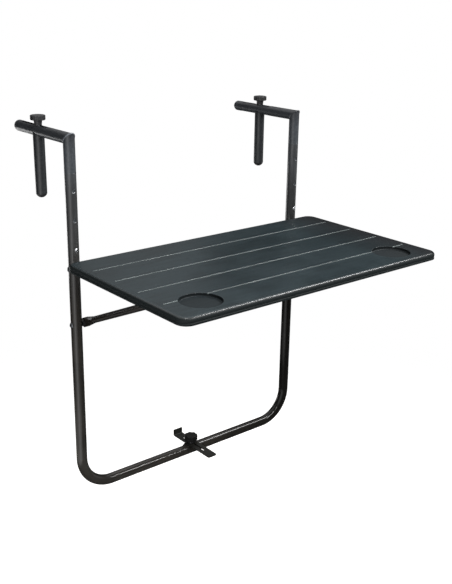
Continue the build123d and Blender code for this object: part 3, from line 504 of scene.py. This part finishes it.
# the weld beads are coloured light grey as a painted highlight along the mitre
weldHighlightSettings = {**hookSettings, "dark": "#5c6066", "light": "#7a7e84", "lighterTone": "#7a7e84"}


# weld bead round the mitre of a hook: an oval section carried along the ellipse where the post meets the arm,
# a slant of 45 degrees, its thickness rising and falling with each drop of the weld
def mitreBead(side, tube, look):
    turn, section = ringAngles(look)
    drop = 1 + look["ripple"] * np.cos(look["ripples"] * turn)
    out = look["thick"] * drop * np.cos(section)
    along = look["broad"] * drop * np.sin(section) / np.sqrt(2)
    lean = np.sqrt(np.cos(turn) ** 2 + 0.5 * np.sin(turn) ** 2)
    x = side * tube["postX"] + np.cos(turn) * (tube["radius"] + out / lean)
    swing = np.sin(turn) * (tube["radius"] + 0.5 * out / lean)
    return np.stack([x, tube["postY"] - swing + along, tube["armZ"] + swing + along], axis=-1)


bareEdge = makeMetal("wornSteelEdge", metalSettings["wornEdge"])
weldHighlightCoat = makePowderCoat("weldPaintedHighlight", weldHighlightSettings)
holeLevels = [
    rimSettings["lowest"] + rimSettings["pitch"] * step for step in reversed(range(rimSettings["count"]))]
for name, side in (("left", -1), ("right", 1)):
    rims = [holeRim(side, level, tubeSettings, rimSettings) for level in holeLevels]
    seam = seamRing(side, tubeSettings, seamSettings)
    bead = mitreBead(side, tubeSettings, beadSettings)
    addPiece(name + "HoleRims", rims, bareEdge, "lower_frame")
    addPiece(name + "SeamRing", [seam], dullSteel, "lower_frame")
    addPiece(name + "MitreBead", [bead], weldHighlightCoat, name + "_hook")
print("rims, seams and welds added")


screwSettings = {
    "edge": 4.0, "radius": 3.9, "dome": 0.9, "back": 0.6,
    "cross": 2.3, "slot": 0.55, "depth": 1.3, "slotSlope": 0.2, "endSlope": 0.4,
    "turnSteps": 64, "rows": 26,
    "firstRow": 0.03, "backRows": (0.9, 0.5, 0.1),  # shares of the radius
}


# pan head with a cross recess, on the flat head of a screw under the table: rows run from the middle out to
# the rim and back inside the head; the dome falls with the square of the radius and the cross is cut into it
def screwHead(x, y, level, look):
    shares = np.concatenate([np.linspace(look["firstRow"], 1, look["rows"]), look["backRows"]])
    out = shares[:, None] * look["radius"]
    turn = np.linspace(0, 2 * np.pi, look["turnSteps"], endpoint=False)[None, :]
    across, along = out * np.cos(turn), out * np.sin(turn)
    arm = np.minimum(np.abs(across), np.abs(along))
    reach = np.maximum(np.abs(across), np.abs(along))
    inSlot = np.clip((look["slot"] - arm) / look["slotSlope"], 0, 1)
    inCross = inSlot * np.clip((look["cross"] - reach) / look["endSlope"], 0, 1)
    height = look["dome"] * (1 - (out / look["radius"]) ** 2) + 0 * turn - look["depth"] * inCross
    height[look["rows"]:] = -look["back"]
    return np.stack([x + across, y + along, level - height], axis=-1)


# the four screws of each node stand at the corners of its box
heads = []
for name in ("bracket_screws", "clip_screws"):
    low, high = boxOf(name)
    spots = [(x, y) for x in (low[0] + screwSettings["edge"], high[0] - screwSettings["edge"])
             for y in (low[1] + screwSettings["edge"], high[1] - screwSettings["edge"])]
    heads += [screwHead(x, y, low[2], screwSettings) for x, y in spots]
addPiece("screwHeads", heads, finishes["plain_steel"], "table", poles=True)
print("screw heads added:", len(heads))


cameraSettings = {
    "place": (-1.04465, -1.38037, 0.27106), "yaw": 39.673, "pitch": 19.155, "roll": 0.999,
    "focalPixels": 889.95, "imageHeight": 584, "sensor": 36.0,
}


# camera at the photograph's viewpoint: yaw to the right of +Y, pitch down, roll about the line of sight
def makeCamera(look):
    yaw, pitch, roll = (math.radians(look[key]) for key in ("yaw", "pitch", "roll"))
    forward = Vector((math.sin(yaw) * math.cos(pitch), math.cos(yaw) * math.cos(pitch), -math.sin(pitch)))
    level = Vector((math.cos(yaw), -math.sin(yaw), 0))
    upright = level.cross(forward)
    right = level * math.cos(roll) + upright * math.sin(roll)
    up = upright * math.cos(roll) - level * math.sin(roll)
    data = bpy.data.cameras.new("photoCamera")
    data.sensor_fit = "VERTICAL"
    data.sensor_height = look["sensor"]
    data.lens = look["focalPixels"] * look["sensor"] / look["imageHeight"]
    camera = bpy.data.objects.new("photoCamera", data)
    turned = Matrix((right, up, -forward)).transposed().to_4x4()
    camera.matrix_world = Matrix.Translation(look["place"]) @ turned
    bpy.context.collection.objects.link(camera)
    bpy.context.scene.camera = camera


makeCamera(cameraSettings)


# 1 for rays from the camera, off shiny surfaces and through clear ones, 0 for light that falls on surfaces
def seenRay(tree):
    path = addNode(tree, "ShaderNodeLightPath").node.outputs
    direct = addNode(tree, "ShaderNodeMath", {"operation": "MAXIMUM"}, {
        0: path["Is Camera Ray"], 1: path["Is Glossy Ray"]})
    return addNode(tree, "ShaderNodeMath", {"operation": "MAXIMUM"}, {
        0: direct, 1: path["Is Transmission Ray"]})


floorSettings = {
    "drop": 0.25, "radius": 1.3, "fadeStart": 0.5,  # lengths in m
    "segments": 96, "light": "#f4f1ec", "dark": "#efece7", "cloudMm": 1000 / 3, "rough": 0.9, "glow": 0.75,
}


# pale round floor below the hanging frame, a fan of triangles about its middle;
# it glows a little so that it reads as white, and its rim fades into the white behind it
def makeFloor(look):
    count = look["segments"]
    turn = np.linspace(0, 2 * np.pi, count, endpoint=False)
    ring = np.column_stack([np.cos(turn), np.sin(turn)]) * look["radius"]
    flatPoints = np.vstack([np.zeros((1, 2)), ring])
    points = np.column_stack([flatPoints, np.full(len(flatPoints), cadBox[0][2] - look["drop"])])
    steps = np.arange(count)
    faces = np.column_stack([np.zeros(count, int), steps + 1, (steps + 1) % count + 1])
    mesh = bpy.data.meshes.new("paleFloor")
    mesh.from_pydata(points.tolist(), [], faces.tolist())
    floor = bpy.data.objects.new("paleFloor", mesh)
    bpy.context.collection.objects.link(floor)
    material, tree, shader, coords = startMaterial("palePaintedFloor")
    cloud = addNode(tree, "ShaderNodeTexNoise", inputs={
        "Vector": coords, "Scale": 1 / (look["cloudMm"] * mm)})
    glow = addNode(tree, "ShaderNodeMath", {"operation": "MULTIPLY"}, {0: seenRay(tree), 1: look["glow"]})
    flat = addNode(tree, "ShaderNodeMapping", inputs={"Vector": coords, "Scale": (1, 1, 0)})
    away = addNode(tree, "ShaderNodeVectorMath", {"operation": "LENGTH"}, {0: flat}, output="Value")
    solid = addNode(tree, "ShaderNodeMapRange", {"interpolation_type": "SMOOTHSTEP"}, {
        "Value": away, "From Min": look["fadeStart"], "From Max": look["radius"],
        "To Min": 1.0, "To Max": 0.0})
    setInputs(tree, shader, {
        "Base Color": twoTone(tree, cloud, look), "Roughness": look["rough"],
        "Emission Color": white, "Emission Strength": glow, "Alpha": solid})
    mesh.materials.append(material)


makeFloor(floorSettings)


curtainSettings = {
    "radius": 3.3, "low": -3.0, "high": 2.2,  # lengths in m, as for the mat
    "matMiddle": (0.7, 0.12), "matLevel": -0.93, "matRadius": 1.36,
    "segments": 64, "dark": "#2c2e30", "light": "#34373a", "cloudMm": 2000 / 3, "rough": 1.0,
}


# dark cloth hung round the set and laid under it, out of the picture: it only shapes the reflections
# in the satin coat; a cylinder wall about the upright through the origin, and a round mat over the floor
def makeCurtain(look):
    count = look["segments"]
    turn = np.linspace(0, 2 * np.pi, count, endpoint=False)
    circle = np.column_stack([np.cos(turn), np.sin(turn)])
    rings = [
        (circle * look["radius"], look["low"]), (circle * look["radius"], look["high"]),
        (circle * look["matRadius"] + look["matMiddle"], look["matLevel"]),
        (np.array([look["matMiddle"]]), look["matLevel"])]
    points = np.vstack([np.column_stack([ring, np.full(len(ring), height)]) for ring, height in rings])
    steps = np.arange(count)
    after = (steps + 1) % count
    wall = np.column_stack([after, steps, steps + count, after + count])
    mat = np.column_stack([np.full(count, 3 * count), steps + 2 * count, after + 2 * count])
    mesh = bpy.data.meshes.new("darkCurtain")
    mesh.from_pydata(points.tolist(), [], wall.tolist() + mat.tolist())
    curtain = bpy.data.objects.new("darkCurtain", mesh)
    bpy.context.collection.objects.link(curtain)
    curtain.visible_camera = False
    curtain.visible_diffuse = False
    curtain.visible_shadow = False
    material, tree, shader, coords = startMaterial("darkCloth")
    cloud = addNode(tree, "ShaderNodeTexNoise", inputs={
        "Vector": coords, "Scale": 1 / (look["cloudMm"] * mm)})
    setInputs(tree, shader, {"Base Color": twoTone(tree, cloud, look), "Roughness": look["rough"]})
    mesh.materials.append(material)


makeCurtain(curtainSettings)


# places and sizes in m, power in W
lampSettings = {
    "keySoftbox": {
        "place": (1.44, -0.6, 1.35), "aim": (1.44, -0.3, -0.2), "size": (1.2, 0.16), "power": 29},
    "tubeStrip": {  # the streak along the bottom run
        "place": (0.46, -1.28, 0.68), "aim": (0.46, -0.1, -0.6), "size": (1.2, 0.07), "power": 18},
    "bendStrip": {  # the streak in the bend of the frame
        "place": (-0.55, -1.28, 0.5), "aim": (0.1, -0.1, -0.6), "size": (0.5, 0.12), "power": 4},
    "frontSoftbox": {  # the glint on the near corner of the table
        "place": (-0.45, -0.56, 1.22), "aim": (-0.3, -0.39, -0.2), "size": (0.3, 0.2), "power": 3.6},
    "leftStrip": {
        "place": (-1.35, -0.78, -0.55), "aim": (-0.1, -0.1, -0.5), "size": (0.7, 2.2), "power": 4.6},
    "leftSoftbox": {
        "place": (-1.5, -0.87, -0.55), "aim": (-0.1, -0.1, -0.5), "size": (2.6, 2.4), "power": 13},
    "overheadSoftbox": {
        "place": (0.2, -0.2, 2.3), "aim": (0.0, -0.2, -0.2), "size": (2.0, 2.0), "power": 5.5},
    "backSoftbox": {
        "place": (1.0, 2.4, 0.95), "aim": (0.0, -0.2, -0.2), "size": (1.6, 1.2), "power": 1.55},
    "rearSoftbox": {  # low behind, for the back of the frame
        "place": (-0.3, 2.0, -0.7), "aim": (0.0, 0.0, -0.45), "size": (1.2, 0.4), "power": 5},
    "rightSoftbox": {
        "place": (2.3, -1.0, -0.3), "aim": (0.0, -0.1, -0.3), "size": (1.2, 1.6), "power": 2.5},
}


# rectangular softboxes, each turned from its place towards its aim
def makeLamps(lamps):
    for name, look in lamps.items():
        data = bpy.data.lights.new(name, "AREA")
        data.shape = "RECTANGLE"
        data.size, data.size_y = look["size"]
        data.energy = look["power"]
        lamp = bpy.data.objects.new(name, data)
        lamp.location = look["place"]
        aim = Vector(look["aim"]) - Vector(look["place"])
        lamp.rotation_euler = aim.to_track_quat("-Z", "Y").to_euler()
        lamp.visible_camera = False
        bpy.context.collection.objects.link(lamp)


makeLamps(lampSettings)


worldSettings = {"fill": "#d8dde2", "fillStrength": 0.13, "backdropStrength": 1.0}


# even studio fill for the object, plain white behind it and in what it mirrors
def makeWorld(look):
    world = bpy.data.worlds.new("studioWorld")
    world.use_nodes = True
    bpy.context.scene.world = world
    tree = world.node_tree
    fill = addNode(tree, "ShaderNodeBackground", inputs={
        "Color": toLinear(look["fill"]), "Strength": look["fillStrength"]})
    backdrop = addNode(tree, "ShaderNodeBackground", inputs={
        "Color": white, "Strength": look["backdropStrength"]})
    mix = addNode(tree, "ShaderNodeMixShader", inputs={0: seenRay(tree), 1: fill, 2: backdrop})
    setInputs(tree, tree.nodes["World Output"], {"Surface": mix})


makeWorld(worldSettings)
bpy.context.scene.view_settings.view_transform = "Standard"
print("camera, floor and lamps set")
